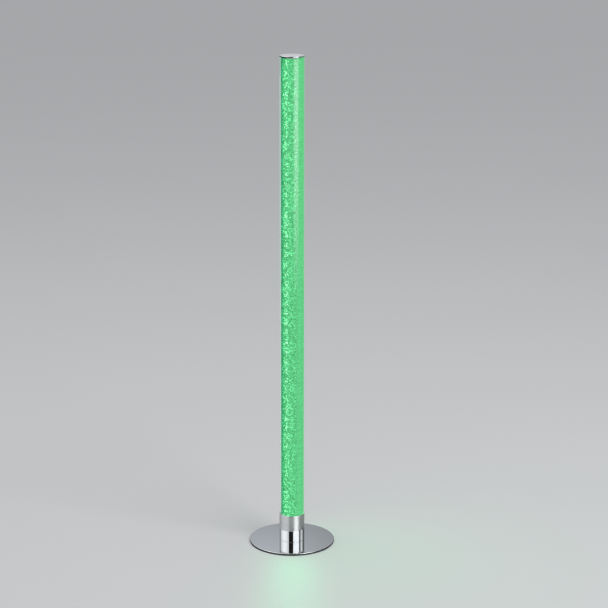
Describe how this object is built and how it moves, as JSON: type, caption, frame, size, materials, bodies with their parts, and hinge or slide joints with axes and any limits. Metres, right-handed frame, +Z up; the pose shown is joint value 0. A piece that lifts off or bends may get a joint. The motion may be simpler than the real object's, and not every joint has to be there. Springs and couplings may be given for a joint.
{
  "type": "bubble column floor lamp",
  "caption": "Slim floor lamp: a round chrome foot plate and stub carry a satin collar and a tall clear tube, lit green from inside through a bubbled liner, under a chrome cap.",
  "frame": {"origin": "centre of the underside of the round foot pad, on the floor and on the column's axis", "axes": "+Z up along the column, -Y the front that the picture sees, +Y the rear with the cord inlet"},
  "size_m": [0.2, 0.2, 1.155],
  "materials": {
    "pad_foam": "matte foam",
    "foot_chrome": "polished chrome plate on steel",
    "stub_chrome": "polished chrome plate on steel",
    "cap_chrome": "polished chrome plate",
    "collar_satin": "satin nickel, fine turned grain",
    "floor_zinc": "zinc plated",
    "screw_zinc": "zinc plated",
    "screw_black": "black oxide",
    "seal_black": "matte",
    "moulded_white": "moulded, fine spark texture",
    "tube_acrylic": "clear extruded acrylic",
    "liner_bubbled": "bubbled translucent sheet, lit green",
    "board_green": "solder mask",
    "board_white": "white solder mask",
    "package_white": "moulded",
    "lens_lit": "clear resin, lit",
    "carrier_alu": "extruded, natural",
    "solder": "solder",
    "part_black": "moulded",
    "sleeve_blue": "shrunk sleeve",
    "winding": "enamelled wire",
    "terminal_green": "moulded",
    "lead_red": "insulated wire"
  },
  "bodies": {
    "root": {"foot_pad": "pad_foam", "foot_plate": "foot_chrome", "plate_screws": "screw_zinc", "chrome_stub": "stub_chrome", "stub_floor": "floor_zinc", "cord_grommet": "seal_black", "satin_collar": "collar_satin", "collar_screw": "screw_black", "tube_socket": "moulded_white", "socket_screws": "screw_zinc", "tube_washer": "seal_black", "clear_tube": "tube_acrylic", "bubble_liner": "liner_bubbled", "driver_board": "board_green", "board_screws": "screw_zinc", "driver_capacitor": "sleeve_blue", "driver_choke": "winding", "driver_chips": "part_black", "cord_terminal": "terminal_green", "lead_header": "moulded_white", "lamp_leads": "lead_red", "led_carrier": "carrier_alu", "carrier_screws": "screw_zinc", "lower_led_board": "board_white", "upper_led_board": "board_white", "board_bridge": "solder", "lower_leds": "package_white", "upper_leds": "package_white", "led_lenses": "lens_lit", "led_resistors": "part_black", "end_plug": "moulded_white", "top_cap": "cap_chrome", "cap_stud": "screw_zinc"}
  },
  "joints": []
}
